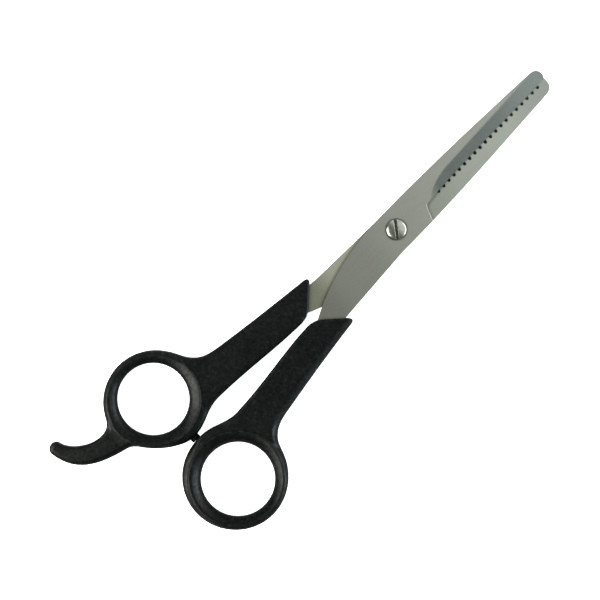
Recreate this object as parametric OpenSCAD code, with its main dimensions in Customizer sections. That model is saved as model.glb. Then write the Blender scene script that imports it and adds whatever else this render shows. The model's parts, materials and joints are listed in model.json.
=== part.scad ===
// Thinning shears: a solid blade and a toothed blade that cross on one screw,
// each with its tang moulded into a plastic handle.
// Origin: on the pivot's axis, halfway between the blades' flat faces.
// +X points to the tips, +Y to the finger ring and +Z to the screw's head.
// Each half is drawn with its spine towards +Y and its handle towards -Y,
// which is how the upper, solid-bladed half lies. The lower half is turned over.

/* [Blades] */
// Distance from the pivot to the tip of the solid blade
blade_reach = 65.1; // [58:0.1:72]
// Thickness of each blade
blade_t = 2.1; // [1.9:0.1:2.3]
// Gap between the two blades' flat faces
blade_gap = 0.04; // [0.02:0.01:0.08]
// Half the width of the closed blades at the pivot
blade_half_w = 6.2; // [5.8:0.1:6.6]
// Half the width of the closed blades just short of the tip
tip_half_w = 4.2; // [3.6:0.1:4.8]
// Slope of the ground face on the solid blade, in degrees
grind_angle = 24; // [20:1:26]

/* [Teeth] */
// Number of teeth on the toothed blade
tooth_count = 21; // [12:1:21]
// Distance from one tooth to the next
tooth_pitch = 2.3; // [2:0.05:2.3]
// Width of the slot between two teeth
slot_w = 1.0; // [0.7:0.05:1.3]
// How far the teeth reach past the blades' centre line
tooth_reach = 2.8; // [2:0.1:3.2]
// Depth of the notch in the end of each tooth
notch_depth = 0.35; // [0.1:0.05:0.5]

/* [Handles] */
// Radius of the finger ring's hole
finger_hole_r = 11; // [9.5:0.1:11.2]
// Radius of the thumb ring's hole
thumb_hole_r = 11.3; // [9.5:0.1:11.5]
// Thickness of the handles' bars
bar_h = 6.6; // [6:0.1:7.4]
// Thickness of the ring's raised rim
rim_h = 8.0; // [7.5:0.1:9]
// Thickness of the finger rest
rest_h = 6.0; // [5:0.1:6.4]
// Length of each tang inside its handle
tang_reach = 30; // [24:1:32]

/* [Pivot] */
// Radius of the screw's head
head_r = 3.05; // [2.8:0.05:3.2]
// Radius of the shoulder that the solid blade turns on
shoulder_r = 1.8; // [1.7:0.05:2]
// Radius over the crests of the screw's thread
thread_r = 1.47; // [1.4:0.01:1.6]
// Distance from one thread to the next
thread_pitch = 0.5; // [0.4:0.05:0.6]
// Clearance between parts that turn on each other
clearance = 0.02; // [0.01:0.01:0.04]
// Direction of the screwdriver slot, in degrees from the tips
slot_angle = 52; // [0:1:180]

/* [Hidden] */
$fn = 96;

// Levels along the pivot's axis
face_z = blade_gap / 2;
blade_top = face_z + blade_t;
seat_depth = 0.6;
seat_room = 0.3;
seat_z = blade_top - seat_depth;
washer_t = 0.3;
washer_z = seat_z + clearance;
head_z = washer_z + washer_t + clearance;
head_side_h = 0.8;
dome_h = 0.7;
slot_depth = 1;
slot_open = 0.9;
thread_depth = 0.27;
screw_tip_z = -blade_top - 0.25;

// Places along the blades
neck_x = 8;
heel_x = 9.9;
edge_x = 12.1;
tip_x = blade_reach - 3.1;
first_slot_x = 17.5;
slot_end_y = 1.6;
slot_end_slope = -0.012;
shank_x = -28;
tang_x = -40;
tang_half_w = 2.7;
anchor_r = 1.4;
anchors = [3, 13];

// The halves: half width at the shank, end of the shank's inner edge and
// the tang's middle line as a height and a slope
solid_half = [7.65, [-36.3, -2.1], -6.3, 0.13];
toothed_half = [6.9, [-37.3, -1.7], -5.4, 0.11];

// The rings: centres of the hole and of the outside, and the outside's radius
finger_hole = [-88.7, 16.9];
finger_out = [-88.9, 15.75];
finger_out_r = 15.9;
thumb_hole = [-88.1, -18.6];
thumb_out = [-88.1, -17.5];
thumb_out_r = 16.2;
// The finger ring's side below the rest follows this flatter circle
flat_side = [-81.3, 22.9];
flat_side_r = 24.5;

// Rounding of the handles' edges
far = 60;
ring_round = 1.9;
disc_step = 0.15;
lip_w = 2.2;
land_w = 0.3;
rim_w = 3.2;
hole_wall = 3;
edge_soft = 0.8;
edge_wide = 1.8;
edge_squash = 0.7;
nose_round = 0.6;

// The bumper between the rings
bumper_x = -88.2;
bumper_head_r = 1.5;
bumper_stem_r = 0.98;
bumper_hole_r = 1.0;
bumper_seat_y = 0.45;
bumper_stem_y = 3;
bumper_end_y = thumb_out[1] + thumb_out_r + 0.04;

STEEL = [0.60, 0.61, 0.57];
PLASTIC = [0.12, 0.12, 0.12];
RUBBER = [0.05, 0.05, 0.05];
SCREW = [0.80, 0.80, 0.80];

// Points along a cubic curve through its first and last control points
function bezier(p, t) =
    pow(1 - t, 3) * p[0] + 3 * pow(1 - t, 2) * t * p[1]
    + 3 * (1 - t) * t * t * p[2] + pow(t, 3) * p[3];
function curve(p, steps = 12) = [for (i = [0:steps]) bezier(p, i / steps)];
function arc(c, rx, ry, a0, a1, steps = 6) =
    [for (i = [0:steps]) let (a = a0 + (a1 - a0) * i / steps) c + [rx * cos(a), ry * sin(a)]];
function flipped(points) = [for (i = [len(points) - 1:-1:0]) points[i]];
function mirrored(points) = [for (p = points) [p[0], -p[1]]];

// ---- Blades ----

// The cutting edge of the solid blade, from its heel to its tip
function solid_edge() = concat(
    curve([[heel_x, -5.6], [heel_x + 0.8, -4.3], [heel_x + 1.2, -1.8], [edge_x, -1.3]], 12),
    curve([[edge_x, -1.3], [28.4, 0], [44.8, -0.4], [blade_reach - 4, -0.25]], 16),
    curve([[blade_reach - 4, -0.25], [blade_reach - 2.4, -0.2],
           [blade_reach - 0.8, -0.1], [blade_reach - 0.2, 0.35]], 4),
    curve([[blade_reach, 1.2], [blade_reach, 3.2],
           [blade_reach - 1.1, tip_half_w - 0.1], [tip_x, tip_half_w]], 12));

// The ends of the teeth, from the heel to the tip
function toothed_edge() = concat(
    curve([[heel_x, -5.6], [heel_x + 0.4, -4.6], [heel_x + 0.8, -3.2],
           [edge_x, -tooth_reach]], 6),
    curve([[tip_x, -tooth_reach + 0.2], [blade_reach - 1, -tooth_reach + 0.4],
           [blade_reach - 0.4, -1.5], [blade_reach - 0.4, 0]], 6),
    curve([[blade_reach - 0.4, 0.8], [blade_reach - 0.4, 2.8],
           [blade_reach - 1.4, tip_half_w - 0.4], [tip_x, tip_half_w - 0.15]], 12));

// The whole outline of one half's steel: edge, spine, shank and tang
function blade_outline(edge, half) = let (
    run = tip_x - neck_x,
    tip_y = edge[len(edge) - 1][1],
    tang_end = tang_x - tang_reach + 10 + tang_half_w,
    tang_end_y = half[2] + half[3] * (tang_end - tang_x))
    concat(
        edge,
        curve([[tip_x, tip_y], [neck_x + run * 2 / 3, tip_y + 0.9],
               [neck_x + run / 3, blade_half_w - 0.2], [neck_x, blade_half_w]], 14),
        curve([[-4, blade_half_w], [-15.3, blade_half_w - 0.7],
               [-26.3, half[1][1] + 5.3], half[1]], 14),
        [[tang_x, half[2] + tang_half_w]],
        arc([tang_end, tang_end_y], tang_half_w, tang_half_w, 90, 270, 10),
        [[tang_x, half[2] - tang_half_w],
         [-34, -half[0] - 0.6],
         [shank_x, -half[0]],
         [-4, -blade_half_w]],
        arc([heel_x - 0.7, -blade_half_w + 0.7], 0.7, 0.7, 270, 360, 6));

// The blank: outline, blade_t thick, with two holes that the handle's plastic fills
module blank(edge, half) {
    translate([0, 0, face_z])
        difference() {
            linear_extrude(blade_t)
                polygon(blade_outline(edge, half));
            for (back = anchors)
                translate([tang_x - back, half[2] - half[3] * back, -1])
                    cylinder(r = anchor_r, h = blade_t + 2);
        }
}

// A grinding wheel's path: a flat face that runs out in the wheel's own radius.
// The wheel's side stops at end_y, so that it clears the heel's corner.
module grind(start, turn, slope, end_y) {
    wheel_r = 40;
    above = 3;
    deep = above + (start[1] - end_y) / cos(slope);
    translate([start[0], start[1], blade_top])
        rotate([0, 0, turn])
            rotate([slope, 0, 0])
                translate([0, above, 0])
                    rotate([90, 0, 0]) {
                        translate([0, wheel_r, 0])
                            cylinder(r = wheel_r, h = deep, $fn = 180);
                        cube([far, 10, deep]);
                    }
}

module solid_blade() {
    color(STEEL)
        difference() {
            blank(solid_edge(), solid_half);
            grind([24, 2.95], 2, grind_angle, -1.9);
            translate([0, 0, -1])
                cylinder(r = shoulder_r + clearance, h = 5);
            translate([0, 0, seat_z])
                cylinder(r = head_r + seat_room, h = 5);
        }
}

// One slot between two teeth, open past the ends of the teeth
module slot(x) {
    end_y = slot_end_y + slot_end_slope * (x - first_slot_x);
    translate([x, end_y - slot_w / 2, -4])
        cylinder(r = slot_w / 2, h = 8, $fn = 24);
    translate([x - slot_w / 2, -2 * tooth_reach, -4])
        cube([slot_w, 2 * tooth_reach + end_y - slot_w / 2, 8]);
}

// The notch that holds the hair in the end of one tooth
module notch(x) {
    past = 0.1;
    side = (notch_depth + past) * sqrt(2);
    translate([x, -tooth_reach - past, 0])
        rotate([0, 0, 45])
            cube([side, side, 8], center = true);
}

module toothed_blade() {
    color(STEEL)
        rotate([180, 0, 0])
            difference() {
                blank(toothed_edge(), toothed_half);
                grind([22.5, 3.1], 2, grind_angle / 2, -8);
                for (i = [0:tooth_count - 2])
                    slot(first_slot_x + i * tooth_pitch);
                for (i = [0:tooth_count - 2])
                    notch(first_slot_x + (i - 0.5) * tooth_pitch);
                translate([0, 0, -1])
                    cylinder(r = thread_r + clearance, h = 5);
            }
}

// ---- Handles ----

// Section of a bar between two points in plan: flat faces, and edges that are
// rounded over round_a on the side of a and over round_b on the side of b
function section(a, b, h, round_a, round_b) = let (
    w = norm(b - a),
    u = (b - a) / w,
    tall_a = round_a * edge_squash,
    tall_b = round_b * edge_squash,
    side = concat(
        arc([w - round_b, -h + tall_b], round_b, tall_b, -90, 0, 3),
        arc([w - round_b, h - tall_b], round_b, tall_b, 0, 90, 3),
        arc([round_a, h - tall_a], round_a, tall_a, 90, 180, 3),
        arc([round_a, -h + tall_a], round_a, tall_a, 180, 270, 3)))
    [for (s = side) [a[0] + u[0] * s[0], a[1] + u[1] * s[0], s[1]]];

// A closed skin through a list of sections with the same number of points
module loft(sections) {
    n = len(sections[0]);
    m = len(sections);
    points = [for (s = sections) each s];
    sides = [for (j = [0:m - 2]) for (i = [0:n - 1])
        let (k = (i + 1) % n)
        [j * n + i, j * n + k, (j + 1) * n + k, (j + 1) * n + i]];
    caps = [[for (i = [n - 1:-1:0]) i], [for (i = [0:n - 1]) (m - 1) * n + i]];
    polyhedron(points, concat(sides, caps), convexity = 6);
}

// The bar of one handle, from its slanted nose to inside its ring. low and high
// are its two edges in plan, point for point, rounded over low_round and high_round.
module bar(low, high, low_round, high_round) {
    last = len(low) - 1;
    half_h = bar_h / 2;
    along = (low[1] - low[0]) / norm(low[1] - low[0]);
    across = (high[0] - low[0]) / norm(high[0] - low[0]);
    function pushed(p, i) = i == 0 ? p + along * nose_round : p;
    loft(concat(
        [for (a = [90, 60, 30])
            let (cut = nose_round * (1 - cos(a)), back = along * nose_round * (1 - sin(a)))
            section(low[0] + back + across * cut / 3, high[0] + back - across * cut / 3,
                    half_h - cut, low_round, high_round)],
        [for (i = [0:last])
            section(pushed(low[i], i), pushed(high[i], i), half_h, low_round, high_round)]));
}

// A round disc with a rounded edge, a little thicker than the bar that runs into it
module rounded_disc(r) {
    half_h = bar_h / 2 + disc_step;
    rotate_extrude()
        polygon(concat(
            [[0, -half_h]],
            arc([r - ring_round, 0], ring_round, half_h, -90, 90, 12),
            [[0, half_h]]));
}

// The raised rim round a hole, before the hole is cut
module rim(hole_r) {
    half_h = rim_h / 2;
    sunk = 0.4;
    skirt = 0.3;
    top_r = hole_r + lip_w + land_w;
    base_z = bar_h / 2 - sunk;
    fall_w = rim_w - lip_w - land_w + skirt;
    crown = arc([top_r, base_z], fall_w, half_h - base_z, 0, 90, 4);
    rotate_extrude()
        polygon(concat(
            [[0, -half_h]],
            flipped(mirrored(crown)),
            crown,
            [[0, half_h]]));
}

// The hole of a ring: a true cylinder hole_wall long with flared, rounded lips
module ring_hole(hole_r) {
    half_h = rim_h / 2;
    wall = hole_wall / 2;
    cylinder(r = hole_r, h = rim_h + 2, center = true);
    for (s = [0, 1])
        mirror([0, 0, s])
            rotate_extrude()
                polygon(concat(
                    [[0, wall]],
                    flipped(arc([hole_r + lip_w, wall], lip_w, half_h - wall, 90, 180, 5)),
                    [[hole_r + lip_w, half_h + 1], [0, half_h + 1]]));
}

// Edges of the thumb half's bar, from the nose to inside the ring
function thumb_inner() = concat(
    curve([[-38.2, -1.3], [-48.7, -1.2], [-60.3, -3.7], [-72, -4.1]], 8),
    curve([[-74, -4.2], [-78.5, -4.3], [-82.4, -1.2], [-88, -1.6]], 6));
function thumb_outer() = concat(
    curve([[-28.8, -10.0], [-41.4, -11.6], [-52.7, -13.4], [-64, -15.2]], 8),
    curve([[-66, -15.7], [-73, -17.8], [-71.6, -23.4], [-76.6, -28]], 6));

module thumb_handle() {
    color(PLASTIC)
        difference() {
            union() {
                bar(thumb_outer(), thumb_inner(), edge_wide, edge_soft);
                translate(thumb_out)
                    rounded_disc(thumb_out_r);
                translate(thumb_hole)
                    rim(thumb_hole_r);
            }
            translate(thumb_hole)
                ring_hole(thumb_hole_r);
            blank(solid_edge(), solid_half);
        }
}

// Edges of the finger half's bar, from the nose to inside the ring
function finger_inner() = concat(
    curve([[-38.8, 0.55], [-50, 0.6], [-61, 2.5], [-72, 2.9]], 8),
    curve([[-74, 3.0], [-78.5, 3.2], [-82, 0.8], [-87, 0.3]], 6));
function finger_outer() = concat(
    curve([[-29.5, 9.0], [-41.4, 10.6], [-52.7, 12.1], [-64, 13.9]], 8),
    curve([[-66, 14.3], [-73, 15.9], [-72.4, 20.6], [-76.8, 24.8]], 6));

// The finger rest: a hook that grows from the ring and narrows to a rounded end
module finger_rest() {
    upper = concat([[-99, 23]],
                   curve([[-104.5, 21], [-109.5, 18.7], [-117.1, 23.1], [-118.2, 27.9]], 10));
    lower = concat([[-99, 9.5]],
                   curve([[-103, 11.5], [-112.3, 13.9], [-121.1, 16.6], [-122.3, 27.2]], 10));
    taper = 0.22;
    end_drop = 0.45;
    last = len(upper) - 1;
    tip_w = norm(upper[last] - lower[last]);
    tip_mid = (upper[last] + lower[last]) / 2;
    across = (upper[last] - lower[last]) / tip_w;
    ahead = [-across[1], across[0]];
    function half_height(i) = rest_h / 2 * (1 - taper * i / last);
    loft(concat(
        [for (i = [0:last])
            section(lower[i], upper[i], half_height(i), edge_wide, edge_soft)],
        [for (a = [25, 50, 75])
            let (centre = tip_mid + ahead * tip_w / 2 * sin(a), w = tip_w / 2 * cos(a))
            section(centre - across * w, centre + across * w,
                    half_height(last) * (1 - end_drop * (1 - cos(a))),
                    edge_wide * cos(a), edge_soft * cos(a))]));
}

// The pocket and blind hole that hold the bumper
module bumper_hole() {
    translate([bumper_x, bumper_stem_y + 0.1, 0])
        rotate([90, 0, 0])
            cylinder(r = bumper_hole_r, h = 5);
    translate([bumper_x, bumper_seat_y, 0])
        rotate([90, 0, 0])
            cylinder(r = bumper_head_r + clearance, h = 5);
}

module finger_handle() {
    color(PLASTIC)
        difference() {
            union() {
                bar(finger_inner(), finger_outer(), edge_soft, edge_wide);
                intersection() {
                    translate(finger_out)
                        rounded_disc(finger_out_r);
                    translate(flat_side)
                        rounded_disc(flat_side_r);
                }
                translate(finger_hole)
                    rim(finger_hole_r);
                finger_rest();
            }
            translate(finger_hole)
                ring_hole(finger_hole_r);
            bumper_hole();
            rotate([180, 0, 0])
                blank(toothed_edge(), toothed_half);
        }
}

// ---- Small parts ----

// Shoulder screw: domed, slotted head and a thread in the toothed blade.
// The thread is drawn as rings.
module pivot_screw() {
    root_r = thread_r - thread_depth;
    top_z = head_z + head_side_h + dome_h;
    rings = floor((blade_t - 0.2) / thread_pitch);
    color(SCREW)
        difference() {
            rotate_extrude()
                polygon(concat(
                    [[0, screw_tip_z],
                     [root_r - 0.3, screw_tip_z],
                     [root_r, screw_tip_z + 0.3]],
                    [for (i = [0:rings - 1])
                        let (z = screw_tip_z + 0.35 + i * thread_pitch)
                        each [[root_r, z],
                              [thread_r, z + thread_pitch * 0.4],
                              [thread_r, z + thread_pitch * 0.55],
                              [root_r, z + thread_pitch * 0.95]]],
                    [[root_r, 0],
                     [shoulder_r, 0],
                     [shoulder_r, head_z],
                     [head_r - 0.1, head_z],
                     [head_r, head_z + 0.1],
                     [head_r, head_z + head_side_h - 0.1]],
                    arc([0, head_z + head_side_h], head_r, dome_h, 0, 90, 8)));
            rotate([0, 0, slot_angle])
                translate([0, 0, top_z])
                    cube([3 * head_r, slot_open, 2 * slot_depth], center = true);
        }
}

module tension_washer() {
    color(SCREW)
        translate([0, 0, washer_z])
            difference() {
                cylinder(r = head_r - 0.05, h = washer_t);
                translate([0, 0, -1])
                    cylinder(r = shoulder_r + 0.05, h = 2);
            }
}

// Rubber stop between the rings: a head with a soft edge and a stem
module bumper() {
    soft = 0.3;
    head_h = bumper_seat_y - clearance - bumper_end_y;
    color(RUBBER)
        translate([bumper_x, bumper_end_y, 0])
            rotate([-90, 0, 0])
                rotate_extrude($fn = 48)
                    polygon(concat(
                        [[0, 0]],
                        arc([bumper_head_r - soft, soft], soft, soft, -90, 0, 4),
                        [[bumper_head_r, head_h],
                         [bumper_stem_r, head_h],
                         [bumper_stem_r, bumper_stem_y - bumper_end_y],
                         [0, bumper_stem_y - bumper_end_y]]));
}

solid_blade();
toothed_blade();
thumb_handle();
finger_handle();
pivot_screw();
tension_washer();
bumper();
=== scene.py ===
import json
import math

import bpy
import numpy as np
from mathutils import Matrix, Vector


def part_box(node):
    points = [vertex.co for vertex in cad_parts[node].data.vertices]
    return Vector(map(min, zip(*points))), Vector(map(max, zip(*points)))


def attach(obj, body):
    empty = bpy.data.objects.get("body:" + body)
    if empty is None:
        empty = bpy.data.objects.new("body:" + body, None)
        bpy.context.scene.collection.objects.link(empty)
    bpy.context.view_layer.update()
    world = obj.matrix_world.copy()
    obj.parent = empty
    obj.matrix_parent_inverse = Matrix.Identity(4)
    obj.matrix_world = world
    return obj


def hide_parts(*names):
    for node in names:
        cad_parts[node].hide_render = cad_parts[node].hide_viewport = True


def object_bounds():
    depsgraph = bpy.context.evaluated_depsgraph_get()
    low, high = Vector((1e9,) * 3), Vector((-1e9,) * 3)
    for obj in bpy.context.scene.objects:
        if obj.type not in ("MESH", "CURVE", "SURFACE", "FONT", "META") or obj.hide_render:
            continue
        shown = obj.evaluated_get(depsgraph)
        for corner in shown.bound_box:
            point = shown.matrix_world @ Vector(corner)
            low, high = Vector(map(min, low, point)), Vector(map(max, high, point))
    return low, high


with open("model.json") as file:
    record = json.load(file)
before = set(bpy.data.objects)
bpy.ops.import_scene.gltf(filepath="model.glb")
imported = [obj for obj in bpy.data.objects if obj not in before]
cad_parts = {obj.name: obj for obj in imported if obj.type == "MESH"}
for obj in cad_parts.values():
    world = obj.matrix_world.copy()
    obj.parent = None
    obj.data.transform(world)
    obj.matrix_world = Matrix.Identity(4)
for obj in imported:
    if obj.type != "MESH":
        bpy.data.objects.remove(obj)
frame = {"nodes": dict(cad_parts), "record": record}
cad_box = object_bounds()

# Thinning shears. The blades, screw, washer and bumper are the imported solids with
# finished edges. The handles are rebuilt as one smooth skin each.
# Shapes are worked out in millimetres from the pivot and turned into metres at the end.
MM = 0.001
MIDDLE_GREY = (0.3, 0.3, 0.3)

mounts = {m["name"]: m for m in frame["record"]["mounts"]}


def in_mm(point):
    return np.array([c / MM for c in point])


# ---- Measures taken from the frame ----

rim_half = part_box("thumb_handle")[1].z / MM
tip_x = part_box("solid_blade")[1].x / MM
blade_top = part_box("solid_blade")[1].z / MM
screw_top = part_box("pivot_screw")[1].z / MM
rings = {
    "finger": (in_mm(mounts["finger_ring"]["pos_m"])[:2], mounts["finger_ring"]["dims"]["r_mm"]),
    "thumb": (in_mm(mounts["thumb_ring"]["pos_m"])[:2], mounts["thumb_ring"]["dims"]["r_mm"]),
}

# ---- Sizes of the handles' softer shapes ----

bar_half = rim_half * 0.825
ring_width = 4.9
# How far the nose bulges past the line between the ends of its two edges
nose_reach = 0.75
# Rounding of the edges: on the nose, round the ring, and along and at the end of the rest
nose_round = 0.75
ring_round = 2.0
rest_lower_round = 1.9
rest_upper_round = 1.1
rest_tip_round = 1.4
# How softly the shapes run into each other in plan
nose_corner = 2.2
ring_join = 0.8
rest_join = 1.6
# The rest is thinner than the bar: a little at its root and more at its end
root_drop = 0.35
rest_drop = 0.6
# The ring's raised bead: its outer rounding, and the softness of its lip, crest and foot
bead_round = 3.0
lip_soft = 1.5
crest_soft = 0.6
foot_round = 0.3
foot_corner = 0.2
# The bar stops this far from the hole, under the bead
bar_gap = 1.3
# Spacing of the grid that the skin is drawn through
net_step = 0.26


# ---- Curves and distances in plan ----

def bezier(points, steps=16):
    """Points along a cubic curve, from four control points."""
    t = np.linspace(0, 1, steps + 1)[:, None]
    p = np.array(points, float)
    return (1 - t) ** 3 * p[0] + 3 * (1 - t) ** 2 * t * p[1] + 3 * (1 - t) * t * t * p[2] + t ** 3 * p[3]


def line_distance(p, line):
    """Distance from each point of p to a chain of straight pieces."""
    best = np.full(len(p), np.inf)
    for a, b in zip(line[:-1], line[1:]):
        d = b - a
        t = np.clip(((p - a) @ d) / (d @ d), 0, 1)
        best = np.minimum(best, np.hypot(*(p - a - t[:, None] * d).T))
    return best


def inside(p, polygon):
    """True for the points of p that lie in a closed polygon."""
    odd = np.zeros(len(p), bool)
    for a, b in zip(polygon, np.roll(polygon, -1, axis=0)):
        crosses = (a[1] > p[:, 1]) != (b[1] > p[:, 1])
        x = a[0] + (p[:, 1] - a[1]) * (b[0] - a[0]) / (b[1] - a[1] if b[1] != a[1] else 1)
        odd ^= crosses & (p[:, 0] < x)
    return odd


def signed(p, polygon):
    """Distance to a polygon, negative inside."""
    d = line_distance(p, np.vstack([polygon, polygon[:1]]))
    return np.where(inside(p, polygon), -d, d)


def smooth_min(a, b, k):
    h = np.clip(0.5 + 0.5 * (b - a) / k, 0, 1)
    return b + (a - b) * h - k * h * (1 - h)


def smooth_max(a, b, k):
    return -smooth_min(-a, -b, k)


def smooth_step(x, low, high):
    t = np.clip((x - low) / (high - low), 0, 1)
    return t * t * (3 - 2 * t)


# ---- Handles: what each point in plan knows about the shape ----

class Plan:
    """Plan of one handle: bar, ring and perhaps a rest.

    rounds: rounding of the bar's inner and outer edge. ring: centre and radius of the hole.
    outside: centre and radius of the ring's outside. bead: width of the raised bead, slope of
    its lip in degrees and softness of its foot. rest: lower edge, upper edge and end.
    flat: centre and radius of a wider circle that trims the ring's outside."""

    def __init__(self, inner, outer, rounds, ring, outside, bead, rest=None, flat=None):
        self.inner, self.outer = inner, outer
        self.inner_round, self.outer_round = rounds
        self.bead_w, slope, self.foot_soft = bead
        self.lip = math.cos(math.radians(slope)), math.sin(math.radians(slope))
        self.hole, self.hole_r = ring
        self.out, self.out_r = outside
        self.rest, self.flat = rest, flat
        past_nose = 8
        along = inner[0] - inner[1]
        along = along / np.linalg.norm(along) * past_nose
        self.bar = np.vstack([inner[0] + along, inner, outer[::-1], outer[0] + along])
        front = outer[0] - inner[0]
        self.front_out = np.array([front[1], -front[0]]) / np.linalg.norm(front)
        if self.front_out[0] < 0:
            self.front_out = -self.front_out
        self.front_at = inner[0] + self.front_out * nose_reach

    def fields(self, p):
        """At each point: distance outside the outline, edge rounding, half height and
        distance past the hole's edge."""
        front = (p - self.front_at) @ self.front_out
        bar = smooth_max(signed(p, self.bar), front, nose_corner)
        ring = np.hypot(*(p - self.out).T) - self.out_r
        if self.flat is not None:
            centre, radius = self.flat
            ring = smooth_max(ring, np.hypot(*(p - centre).T) - radius, ring_join)
        d = smooth_min(bar, ring, ring_join)
        # The nose and the ring give way to the bar's own edges where they meet
        nose_yield, ring_yield = 0.2, 0.3
        soft = [(np.abs(front) + nose_yield, nose_round),
                (np.abs(ring) + ring_yield, ring_round),
                (line_distance(p, self.inner), self.inner_round),
                (line_distance(p, self.outer), self.outer_round)]
        h = np.full(len(p), bar_half)
        if self.rest is not None:
            lower, upper, tip = self.rest
            d_rest = signed(p, np.vstack([lower, tip, upper[::-1]]))
            d = smooth_min(d, d_rest, rest_join)
            soft += [(line_distance(p, lower), rest_lower_round),
                     (line_distance(p, upper), rest_upper_round),
                     (line_distance(p, tip), rest_tip_round)]
            past_root = lower[1][0] - p[:, 0]
            h = h - root_drop * smooth_step(past_root, -1.5, 3)
            h = h - rest_drop * smooth_step(past_root, 2, 20)
        # The nearest edge's rounding counts most
        weight = [1 / (0.15 + away) ** 3 for away, _ in soft]
        r = sum(w * rounding for w, (_, rounding) in zip(weight, soft)) / sum(weight)
        past_hole = np.hypot(*(p - self.hole).T) - self.hole_r
        return d, r, h, past_hole

    def solid(self, fields, z):
        """The skin's implicit function: negative inside the handle."""
        d, r, h, past_hole = fields
        body = rounded(np.maximum(d, bar_gap - past_hole), z, h, r)
        crest = self.bead_w - foot_round
        cone = (np.abs(z) - rim_half) * self.lip[0] + (crest - past_hole) * self.lip[1]
        lip = smooth_max(-past_hole, cone, lip_soft)
        side = rounded(d, z, rim_half, bead_round)
        foot = rounded(past_hole - self.bead_w, z, rim_half, foot_round)
        bead = smooth_max(smooth_max(lip, side, crest_soft), foot, foot_corner)
        return smooth_min(body, bead, self.foot_soft)


def rounded(d, z, h, r):
    """A plate of half height h whose outline is d = 0, with its edges rounded to radius r."""
    a = d + r
    b = np.abs(z) - (h - r)
    return np.minimum(np.maximum(a, b), 0) + np.hypot(np.maximum(a, 0), np.maximum(b, 0)) - r


# ---- Surface net: a quad skin through the zero of a function ----

def surface_net(value, low, step):
    """Vertices and quads of the zero surface of a grid of values."""
    shape = np.array(value.shape)
    cells = tuple(shape - 1)
    total = np.zeros(cells + (3,))
    count = np.zeros(cells)
    crossings = []
    for axis in range(3):
        near = [slice(None)] * 3
        next_one = [slice(None)] * 3
        near[axis] = slice(0, -1)
        next_one[axis] = slice(1, None)
        a, b = value[tuple(near)], value[tuple(next_one)]
        cross = (a < 0) != (b < 0)
        t = np.where(cross, a / np.where(cross, a - b, 1), 0)
        counts = [np.arange(n) for n in cross.shape]
        place = np.stack(np.meshgrid(*counts, indexing="ij"), -1).astype(float)
        place[..., axis] += t
        others = [k for k in range(3) if k != axis]
        for i in (0, 1):
            for j in (0, 1):
                part = [slice(None)] * 3
                part[others[0]] = slice(i, shape[others[0]] - 1 + i)
                part[others[1]] = slice(j, shape[others[1]] - 1 + j)
                hit = cross[tuple(part)]
                total += np.where(hit[..., None], place[tuple(part)], 0)
                count += hit
        crossings.append((axis, others, cross, a < 0))
    active = count > 0
    index = np.full(cells, -1)
    index[active] = np.arange(active.sum())
    vertices = total[active] / count[active][:, None] * step + low
    quads = []
    for axis, others, cross, first_inside in crossings:
        where = np.argwhere(cross)
        for k in others:
            where = where[(where[:, k] > 0) & (where[:, k] < shape[k] - 1)]
        flip = first_inside[tuple(where.T)]
        corner = []
        for i, j in ((0, 0), (1, 0), (1, 1), (0, 1)):
            at = where.copy()
            at[:, others[0]] -= i
            at[:, others[1]] -= j
            corner.append(index[tuple(at.T)])
        quad = np.stack(corner, 1)
        if axis == 1:
            flip = ~flip
        quad[~flip] = quad[~flip][:, ::-1]
        quads.append(quad)
    return vertices, np.vstack(quads)


def settle(plan, v, rounds=3):
    """Moves vertices along the function's slope until they lie on the surface."""
    e = 0.01
    least_slope = 0.05
    longest_move = 0.1
    slope = None
    for _ in range(rounds):
        here = plan.fields(v[:, :2])
        f = plan.solid(here, v[:, 2])
        if slope is None:
            slope = np.stack([
                plan.solid(plan.fields(v[:, :2] + [e, 0]), v[:, 2]) - f,
                plan.solid(plan.fields(v[:, :2] + [0, e]), v[:, 2]) - f,
                plan.solid(here, v[:, 2] + e) - f], 1) / e
            slope /= np.maximum((slope ** 2).sum(1), least_slope)[:, None]
        v = v - np.clip(slope * f[:, None], -longest_move, longest_move)
    return v


def relax(v, quads, share=0.5):
    """Moves each vertex part of the way to the middle of its neighbours."""
    total = np.zeros_like(v)
    count = np.zeros(len(v))
    for i in range(4):
        a, b = quads[:, i], quads[:, (i + 1) % 4]
        for s, t in ((a, b), (b, a)):
            np.add.at(total, s, v[t])
            np.add.at(count, s, 1)
    return v + share * (total / count[:, None] - v)


def skin(name, plan, low, high):
    """Mesh object of one handle's skin, in metres."""
    axes = [np.arange(lo, hi + net_step, net_step) for lo, hi in zip(low, high)]
    x, y = np.meshgrid(axes[0], axes[1], indexing="ij")
    flat = plan.fields(np.stack([x.ravel(), y.ravel()], 1))
    flat = tuple(f.reshape(x.shape)[:, :, None] for f in flat)
    value = plan.solid(flat, axes[2][None, None, :])
    v, quads = surface_net(value, np.array(low), net_step)
    v = settle(plan, v)
    for _ in range(2):
        v = settle(plan, relax(v, quads))
    mesh = bpy.data.meshes.new(name)
    mesh.from_pydata(v * MM, [], quads.tolist())
    mesh.validate()
    mesh.shade_smooth()
    obj = bpy.data.objects.new(name, mesh)
    bpy.context.scene.collection.objects.link(obj)
    return obj


# ---- Materials ----

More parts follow.
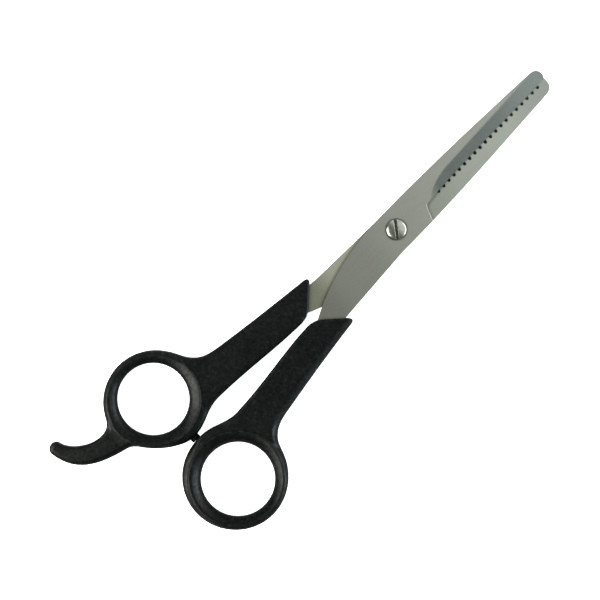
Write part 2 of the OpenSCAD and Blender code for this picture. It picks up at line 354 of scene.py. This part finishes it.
class Nodes:
    """Short forms for building a material's node tree."""

    def __init__(self, name):
        self.material = bpy.data.materials.new(name)
        self.material.use_nodes = True
        self.tree = self.material.node_tree
        self.shader = self.tree.nodes["Principled BSDF"]
        where = self.tree.nodes.new("ShaderNodeTexCoord")
        self.place = self.scaled(where.outputs["Object"], (1 / MM,) * 3)

    def link(self, a, b):
        self.tree.links.new(a, b)

    def scaled(self, source, scale):
        node = self.tree.nodes.new("ShaderNodeVectorMath")
        node.operation = "MULTIPLY"
        self.link(source, node.inputs[0])
        node.inputs[1].default_value = scale
        return node.outputs[0]

    def noise(self, scale, detail=4.0, rough=0.55, stretch=(1, 1, 1), seed=0.0):
        node = self.tree.nodes.new("ShaderNodeTexNoise")
        node.noise_dimensions = "4D"
        node.inputs["W"].default_value = seed
        node.inputs["Scale"].default_value = scale
        node.inputs["Detail"].default_value = detail
        node.inputs["Roughness"].default_value = rough
        self.link(self.scaled(self.place, stretch), node.inputs["Vector"])
        return node.outputs["Fac"]

    def math(self, kind, a, b=None):
        node = self.tree.nodes.new("ShaderNodeMath")
        node.operation = kind
        for i, value in enumerate((a, b)):
            if value is None:
                continue
            if isinstance(value, (int, float)):
                node.inputs[i].default_value = value
            else:
                self.link(value, node.inputs[i])
        return node.outputs[0]

    def product(self, *values):
        result = values[0]
        for value in values[1:]:
            result = self.math("MULTIPLY", result, value)
        return result

    def spread(self, value, low, high, out_low=0.0, out_high=1.0):
        """A soft step from out_low at low to out_high at high."""
        node = self.tree.nodes.new("ShaderNodeMapRange")
        node.interpolation_type = "SMOOTHSTEP"
        self.link(value, node.inputs["Value"])
        node.inputs["From Min"].default_value = low
        node.inputs["From Max"].default_value = high
        node.inputs["To Min"].default_value = out_low
        node.inputs["To Max"].default_value = out_high
        return node.outputs["Result"]

    def mix(self, factor, a, b):
        node = self.tree.nodes.new("ShaderNodeMix")
        node.data_type = "RGBA"
        if isinstance(factor, (int, float)):
            node.inputs["Factor"].default_value = factor
        else:
            self.link(factor, node.inputs["Factor"])
        for value, socket in ((a, node.inputs[6]), (b, node.inputs[7])):
            if isinstance(value, tuple):
                socket.default_value = (*value, 1)
            else:
                self.link(value, socket)
        return node.outputs[2]

    def bump(self, height, distance_mm, strength=1.0, normal=None):
        node = self.tree.nodes.new("ShaderNodeBump")
        node.inputs["Strength"].default_value = strength
        node.inputs["Distance"].default_value = distance_mm * MM
        self.link(height, node.inputs["Height"])
        if normal is not None:
            self.link(normal, node.inputs["Normal"])
        return node.outputs["Normal"]

    def geometry(self, output):
        return self.tree.nodes.new("ShaderNodeNewGeometry").outputs[output]

    def covered(self, distance_mm):
        """How closely other surfaces stand over this one: 0 in the open, 1 in a tight corner."""
        node = self.tree.nodes.new("ShaderNodeAmbientOcclusion")
        node.samples = 8
        node.inputs["Distance"].default_value = distance_mm * MM
        return self.math("SUBTRACT", 1, node.outputs["AO"])

    def turned(self, amount, a, b):
        """The direction a, turned towards the direction b by amount."""
        mix = self.tree.nodes.new("ShaderNodeMix")
        mix.data_type = "VECTOR"
        self.link(amount, mix.inputs["Factor"])
        self.link(a, mix.inputs[4])
        self.link(b, mix.inputs[5])
        unit = self.tree.nodes.new("ShaderNodeVectorMath")
        unit.operation = "NORMALIZE"
        self.link(mix.outputs[1], unit.inputs[0])
        return unit.outputs[0]

    def rounded_normal(self, radius_mm):
        """The normal that the surface would have if its edges were rounded."""
        node = self.tree.nodes.new("ShaderNodeBevel")
        node.samples = 8
        node.inputs["Radius"].default_value = radius_mm * MM
        return node.outputs["Normal"]

    def outward(self):
        """Straight up on the object's upper half and straight down on its lower half."""
        node = self.tree.nodes.new("ShaderNodeCombineXYZ")
        self.link(self.math("SIGN", self.axis(self.place, 2)), node.inputs[2])
        return node.outputs[0]

    def axis(self, vector, k):
        node = self.tree.nodes.new("ShaderNodeSeparateXYZ")
        self.link(vector, node.inputs[0])
        return node.outputs[k]

    def set(self, **values):
        for key, value in values.items():
            socket = self.shader.inputs[key.replace("_", " ")]
            if isinstance(value, (int, float)):
                socket.default_value = value
            elif isinstance(value, tuple):
                socket.default_value = (*value, 1) if len(value) == 3 else value
            else:
                self.link(value, socket)


def blade_steel(name, light, tones):
    """Satin steel: flats brushed along the blade, ground faces brushed across it, dull cut walls.
    The flats change slowly along the blade, from light to each tone between two places."""
    n = Nodes(name)
    along, across = n.axis(n.place, 0), n.axis(n.place, 1)
    height = n.math("ABSOLUTE", n.axis(n.place, 2))
    true_normal = n.geometry("True Normal")
    up = n.math("ABSOLUTE", n.axis(true_normal, 2))
    level = n.spread(up, 0.55, 0.8)
    wall = n.spread(up, 0.5, 0.3)
    off_inner_face = n.spread(height, 0.08, 0.2)

    # The ground face fades into the flat: along its crest, and where it runs out at the heel
    crest = n.spread(height, blade_top - 0.35, blade_top - 0.02)
    run_out = n.product(n.spread(along, 20, 12), off_inner_face)
    not_polished = n.math("SUBTRACT", 1, n.math("MAXIMUM", crest, run_out))
    ground = n.product(level, n.spread(up, 0.995, 0.96), not_polished)

    long_lines = n.noise(1.0, 5, 0.6, (0.05, 9, 1), 1)
    cross_lines = n.noise(1.0, 4, 0.6, (7, 0.35, 1), 2)
    cloud = n.noise(0.12, 3, 0.6, (1, 1, 1), 3)
    spots = n.noise(1.6, 4, 0.7, (1, 1, 1), 4)
    lines = n.mix(ground, long_lines, cross_lines)

    flat_colour = n.mix(n.spread(cloud, 0.3, 0.7), light, tuple(0.94 * c for c in light))
    for begin, end, tone in tones:
        flat_colour = n.mix(n.spread(along, begin, end), flat_colour, tone)
    flat_colour = n.mix(n.spread(spots, 0.58, 0.75), flat_colour, tuple(0.93 * c for c in light))
    ground_colour = n.mix(n.spread(spots, 0.35, 0.7), (0.235, 0.262, 0.256), (0.275, 0.305, 0.292))
    ground_colour = n.mix(n.spread(along, 38, 62), ground_colour, (0.34, 0.375, 0.36))
    colour = n.mix(ground, flat_colour, ground_colour)
    colour = n.mix(n.spread(lines, 0.35, 0.65), colour, n.mix(0.025, colour, MIDDLE_GREY))
    colour = n.mix(wall, colour, (0.26, 0.26, 0.24))

    # Painted shade: the steel is darkened where something stands close over it, in corners and along the
    # other blade's edge
    corner = n.product(level, n.spread(n.covered(1.6), 0.05, 0.55))
    colour = n.mix(n.product(corner, 0.55), colour, (0.10, 0.105, 0.095))
    # Painted shade: the slot walls between the teeth are painted near black, as the deep slots lie in
    # shade
    between_teeth = n.product(n.spread(along, 15, 16),
                              n.spread(n.math("ABSOLUTE", across), 2.4, 2.2))
    shaded_slot_walls = n.product(wall, between_teeth)
    colour = n.mix(shaded_slot_walls, colour, (0.004, 0.004, 0.004))
    rough = n.math("ADD", n.spread(lines, 0.3, 0.7, 0.27, 0.31), n.product(shaded_slot_walls, 0.3))

    # Flats and ground faces are plane. The ground face turns level where it fades out
    normal = n.turned(level, n.geometry("Normal"), true_normal)
    levelled = n.math("MAXIMUM", crest, n.product(n.spread(along, 28, 17), off_inner_face))
    normal = n.turned(n.product(level, levelled), normal, n.outward())
    # The worn edge of the heel catches the light
    heel = n.product(n.spread(along, 8.6, 9.4), n.spread(along, 12.8, 12.2),
                     level, n.spread(height, 1.0, 1.2))
    normal = n.turned(heel, normal, n.rounded_normal(0.35))
    normal = n.bump(lines, 0.003, 0.035, normal)
    normal = n.bump(spots, 0.004, 0.2, normal)
    n.set(Base_Color=colour, Metallic=1.0, Roughness=rough, Normal=normal)
    return n.material


def screw_steel():
    """Polished steel with fine turning rings, and painted shade in the slot and below the dome."""
    n = Nodes("screw_steel")
    depth = n.axis(n.place, 2)
    smudge = n.noise(0.9, 4, 0.6, (1, 1, 1), 5)
    rub = n.noise(1.0, 3, 0.5, (14, 1.2, 3), 6)
    # Painted shade: everything below the dome, the slot's inside, the head's side and the washer, is
    # painted near black
    shade = n.spread(depth, screw_top - 1.05, screw_top - 0.6)
    dome = n.mix(n.spread(smudge, 0.4, 0.7), (0.57, 0.585, 0.52), (0.44, 0.445, 0.39))
    colour = n.mix(shade, (0.10, 0.10, 0.085), dome)
    rough = n.spread(smudge, 0.3, 0.75, 0.18, 0.30)
    n.set(Base_Color=colour, Metallic=1.0, Roughness=rough, Normal=n.bump(rub, 0.003, 0.3))
    return n.material


def handle_plastic():
    """Black moulded plastic: fine grain, a faint parting line and rubbed edges."""
    n = Nodes("handle_plastic")
    grain = n.noise(1.2, 5, 0.75, (1, 1, 1), 7)
    cloud = n.noise(0.16, 4, 0.6, (1, 1, 1), 8)
    scuff = n.noise(0.8, 5, 0.75, (1, 1, 1), 9)
    edge = n.spread(n.geometry("Pointiness"), 0.505, 0.56)
    level = n.math("ABSOLUTE", n.axis(n.place, 2))
    parting = n.spread(level, 0.03, 0.12, 1.0, 0.0)
    colour = n.mix(n.spread(cloud, 0.35, 0.65), (0.0005, 0.0010, 0.0009), (0.0012, 0.0019, 0.0016))
    colour = n.mix(n.spread(grain, 0.56, 0.66), colour, (0.0036, 0.0056, 0.0050))
    rubbed = n.product(edge, n.spread(scuff, 0.4, 0.65))
    colour = n.mix(rubbed, colour, (0.012, 0.0125, 0.0125))
    rough = n.spread(scuff, 0.35, 0.65, 0.33, 0.46)
    shine = n.spread(grain, 0.35, 0.65, 0.065, 0.135)
    normal = n.bump(grain, 0.09, 1.0)
    normal = n.bump(scuff, 0.05, 0.5, normal)
    normal = n.bump(parting, 0.04, 0.6, normal)
    n.set(Base_Color=colour, Roughness=rough, Normal=normal, Specular_IOR_Level=shine)
    return n.material


def bumper_rubber():
    """Dull black rubber with a dusty bloom."""
    n = Nodes("bumper_rubber")
    dust = n.noise(2.2, 4, 0.7, (1, 1, 1), 10)
    colour = n.mix(n.spread(dust, 0.4, 0.7), (0.0008, 0.0008, 0.0008), (0.002, 0.002, 0.002))
    n.set(Base_Color=colour, Roughness=n.spread(dust, 0.3, 0.7, 0.7, 0.85),
          Normal=n.bump(dust, 0.02, 0.5), Specular_IOR_Level=0.04)
    return n.material


def give(obj, material):
    obj.data.materials.clear()
    obj.data.materials.append(material)


# ---- Handles ----

def thumb_plan():
    inner = np.vstack([bezier([[-38.2, -1.3], [-48.7, -1.2], [-60.3, -3.7], [-72, -4.1]]),
                       bezier([[-74, -4.2], [-78.5, -4.3], [-82.4, -1.2], [-88, -1.6]])])
    outer = np.vstack([bezier([[-28.6, -10.2], [-41.4, -11.6], [-52.7, -13.4], [-64, -15.2]]),
                       bezier([[-66, -15.7], [-73, -17.8], [-71.6, -23.4], [-76.6, -28]])])
    hole, hole_r = rings["thumb"]
    return Plan(inner, outer, rounds=(0.8, 3.1), ring=rings["thumb"],
                outside=(hole + [0, 1.1], hole_r + ring_width), bead=(3.6, 33, 0.9))


def finger_plan():
    inner = np.vstack([bezier([[-38.8, 0.55], [-50, 0.6], [-61, 2.5], [-72, 2.9]]),
                       bezier([[-74, 3.0], [-78.5, 3.2], [-82, 0.8], [-87, 0.3]])])
    outer = np.vstack([bezier([[-29.3, 9.2], [-41.4, 10.6], [-52.7, 12.1], [-64, 13.9]]),
                       bezier([[-66, 14.3], [-73, 15.9], [-72.4, 20.6], [-76.8, 24.8]])])
    lower = np.vstack([[[-99, 9.5]],
                       bezier([[-103, 11.5], [-112.3, 13.9], [-121.1, 16.6], [-122.3, 27.2]])])
    upper = np.vstack([[[-99, 23]],
                       bezier([[-104.5, 21], [-109.5, 18.7], [-117.1, 23.1], [-118.2, 27.9]])])
    tip = bezier([lower[-1], lower[-1] + [0, 2.9], upper[-1] + [-0.1, 2.6], upper[-1]])[1:-1]
    hole, hole_r = rings["finger"]
    return Plan(inner, outer, rounds=(1.5, 2.0), ring=rings["finger"],
                outside=(hole + [-0.2, -1.15], hole_r + ring_width), bead=(3.7, 27, 0.25),
                rest=(lower, upper, tip), flat=(hole + [7.4, 6.0], 24.5))


def build_handles(material):
    margin = 1
    grips = []
    for name, plan, body, node in (("thumb_grip", thumb_plan(), "thumb_half", "thumb_handle"),
                                   ("finger_grip", finger_plan(), "finger_half", "finger_handle")):
        lo, hi = (in_mm(c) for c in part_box(node))
        obj = skin(name, plan, lo - margin, hi + margin)
        give(obj, material)
        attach(obj, body)
        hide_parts(node)
        grips.append(obj)
    return grips


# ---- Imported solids: joined vertices and small worn edges ----

def finish_edges(node, width_mm, material):
    """Joins split vertices, merges each flat into one face, and bevels the sharp edges."""
    obj = frame["nodes"][node]
    give(obj, material)
    weld = obj.modifiers.new("weld", "WELD")
    weld.merge_threshold = 0.001 * MM
    plain = obj.modifiers.new("plain_faces", "DECIMATE")
    plain.decimate_type = "DISSOLVE"
    plain.angle_limit = math.radians(0.4)
    bevel = obj.modifiers.new("edges", "BEVEL")
    bevel.width = width_mm * MM
    bevel.segments = 2
    bevel.limit_method = "ANGLE"
    bevel.angle_limit = math.radians(26)
    bevel.use_clamp_overlap = False
    even = obj.modifiers.new("normals", "WEIGHTED_NORMAL")
    even.mode = "FACE_AREA"
    even.weight = 100
    even.keep_sharp = False


# ---- Stage ----

def floor_material():
    """White board that looks evenly lit. Only the strip seen through the slots is painted black, as
    painted shadow.
    """
    n = Nodes("floor")
    tone = n.noise(0.01, 2, 0.5, (1, 1, 1), 11)
    along, across = n.axis(n.place, 0), n.axis(n.place, 1)
    # Painted shadow: the strip under the round ends of the slots, where the blades stand close over it,
    # is black and does not glow
    slots_y = -0.7
    middle = n.math("ABSOLUTE", n.math("SUBTRACT", across, slots_y))
    slot_shadow_strip = n.product(n.spread(along, 14.5, 15.5), n.spread(along, tip_x, tip_x - 1),
                      n.spread(middle, 1.5, 1.3))
    covered = n.product(slot_shadow_strip, n.spread(n.covered(4.5), 0.1, 0.4))
    open_sky = n.math("SUBTRACT", 1, covered)
    ray = n.tree.nodes.new("ShaderNodeLightPath").outputs
    white = n.mix(tone, (0.93, 0.93, 0.93), (0.95, 0.95, 0.95))
    # Greyer in reflections, so that the rings' inner lips stay black
    white = n.mix(ray["Is Glossy Ray"], white, MIDDLE_GREY)
    n.set(Base_Color=n.mix(open_sky, (0.004, 0.004, 0.004), white), Roughness=0.9,
          Emission_Color=(1.0, 1.0, 1.0),
          Emission_Strength=n.product(ray["Is Camera Ray"], open_sky, 0.9))
    return n.material


def floor():
    """A square board that the shears lie on."""
    low = min(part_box(name)[0].z for name in frame["nodes"])
    half = 1.5
    corners = [(-half, -half, low), (half, -half, low), (half, half, low), (-half, half, low)]
    mesh = bpy.data.meshes.new("floor")
    mesh.from_pydata(corners, [], [(0, 1, 2, 3)])
    obj = bpy.data.objects.new("floor", mesh)
    bpy.context.scene.collection.objects.link(obj)
    give(obj, floor_material())
    return obj


def heading(azimuth, elevation):
    """Unit vector towards a place in the studio. Azimuth 0 is +X and 90 is +Y."""
    a, e = math.radians(azimuth), math.radians(elevation)
    return Vector((math.cos(a) * math.cos(e), math.sin(a) * math.cos(e), math.sin(e)))


def lamp(name, azimuth, elevation, size, brightness, colour, lit, distance=1.2):
    """A soft panel that points at the pivot and lights one group of objects.
    Brightness is the panel's own radiance."""
    data = bpy.data.lights.new(name, "AREA")
    data.shape = "RECTANGLE"
    data.size, data.size_y = size
    data.energy = brightness * math.pi * size[0] * size[1]
    data.color = colour
    obj = bpy.data.objects.new(name, data)
    away = heading(azimuth, elevation)
    obj.location = away * distance
    obj.rotation_euler = away.to_track_quat("Z", "Y").to_euler()
    obj.light_linking.receiver_collection = lit
    bpy.context.scene.collection.objects.link(obj)


def lit_group(name, objects):
    group = bpy.data.collections.new(name)
    for obj in objects:
        group.objects.link(obj)
    return group


def studio_world():
    """Grey surroundings, brighter overhead towards the tips. The camera sees plain pale grey."""
    dim, bright = 0.15, 0.9
    world = bpy.data.worlds.new("studio")
    world.use_nodes = True
    tree = world.node_tree
    new = tree.nodes.new
    sky = tree.nodes["Background"]
    plain = new("ShaderNodeBackground")
    plain.inputs["Color"].default_value = (0.9, 0.9, 0.9, 1)
    split = new("ShaderNodeSeparateXYZ")
    tree.links.new(new("ShaderNodeTexCoord").outputs["Generated"], split.inputs[0])
    ramp = new("ShaderNodeMapRange")
    ramp.interpolation_type = "SMOOTHSTEP"
    tree.links.new(split.outputs["X"], ramp.inputs["Value"])
    ramp.inputs["From Min"].default_value = -0.05
    ramp.inputs["From Max"].default_value = 0.3
    ramp.inputs["To Min"].default_value = dim
    ramp.inputs["To Max"].default_value = bright
    tree.links.new(ramp.outputs["Result"], sky.inputs["Strength"])
    tint = new("ShaderNodeMix")
    tint.data_type = "RGBA"
    tint.inputs[6].default_value = (1.0, 1.0, 0.95, 1)
    tint.inputs[7].default_value = (0.94, 1.0, 0.99, 1)
    tree.links.new(ramp.outputs["Result"], tint.inputs["Factor"])
    tree.links.new(tint.outputs[2], sky.inputs["Color"])
    choose = new("ShaderNodeMixShader")
    tree.links.new(new("ShaderNodeLightPath").outputs["Is Camera Ray"], choose.inputs[0])
    tree.links.new(sky.outputs[0], choose.inputs[1])
    tree.links.new(plain.outputs[0], choose.inputs[2])
    tree.links.new(choose.outputs[0], tree.nodes["World Output"].inputs["Surface"])
    bpy.context.scene.world = world


def lights(groups):
    """The same three panels for each group of objects, dimmed by the group's share of their light.
    Black plastic needs strong panels for its highlights, and satin steel needs weak ones."""
    studio_world()
    for name, (share, objects) in groups.items():
        group = lit_group(name, objects)
        lamp(name + "_warm", 152, 36, (1.0, 0.8), 18 * share, (1.0, 0.99, 0.94), group)
        lamp(name + "_cool", -50, 14, (1.0, 0.5), 16 * share, (0.84, 0.95, 1.0), group)
        lamp(name + "_front", -20, 28, (0.6, 0.5), 6 * share, (1.0, 1.0, 0.98), group)


def camera():
    """Straight down, turned so that the tips point up and to the right, as in the photo."""
    turn = math.radians(45.7)
    right = Vector((math.cos(turn), -math.sin(turn), 0))
    up = Vector((math.sin(turn), math.cos(turn), 0))
    distance = 0.6
    frame_width = 0.1831
    # The picture's middle lies a little towards the finger ring from the box's middle
    aside = Vector((-0.0072, 0.0070, 0))
    centre = (Vector(cad_box[0]) + Vector(cad_box[1])) / 2 + aside
    data = bpy.data.cameras.new("camera")
    data.sensor_width = 36
    data.lens = data.sensor_width * distance / frame_width
    data.clip_start = 0.01
    obj = bpy.data.objects.new("camera", data)
    turned = Matrix((right, up, right.cross(up))).transposed().to_4x4()
    obj.matrix_world = Matrix.Translation((centre.x, centre.y, distance)) @ turned
    bpy.context.scene.collection.objects.link(obj)
    bpy.context.scene.camera = obj
    bpy.context.scene.view_settings.view_transform = "Standard"


# On each blade the tone between -22 and -31 mm is painted shade: the flats darken towards the handles,
# standing in for the dark handles' reflection and shadow
solid_steel = blade_steel("solid_blade_steel", (0.67, 0.685, 0.61), [
    (2, -14, (0.565, 0.57, 0.50)),
    (-22, -31, (0.475, 0.48, 0.415)),
    (44, 62, (0.54, 0.57, 0.54))])
toothed_steel = blade_steel("toothed_blade_steel", (0.735, 0.77, 0.68), [
    (30, 12, (0.63, 0.66, 0.575)),
    (2, -14, (0.90, 0.91, 0.72)),
    (-22, -31, (0.56, 0.575, 0.42)),
    (44, 62, (0.56, 0.59, 0.54))])
screw = screw_steel()
plastic = handle_plastic()
rubber = bumper_rubber()
grips = build_handles(plastic)
finish_edges("solid_blade", 0.09, solid_steel)
finish_edges("toothed_blade", 0.04, toothed_steel)
finish_edges("pivot_screw", 0.05, screw)
finish_edges("tension_washer", 0.03, screw)
finish_edges("bumper", 0.05, rubber)
nodes = frame["nodes"]
lights({"dark": (1, grips + [nodes["bumper"], floor()]),
        "bright": (0.12, [nodes["solid_blade"], nodes["toothed_blade"]]),
        "polished": (0.3, [nodes["pivot_screw"], nodes["tension_washer"]])})
camera()
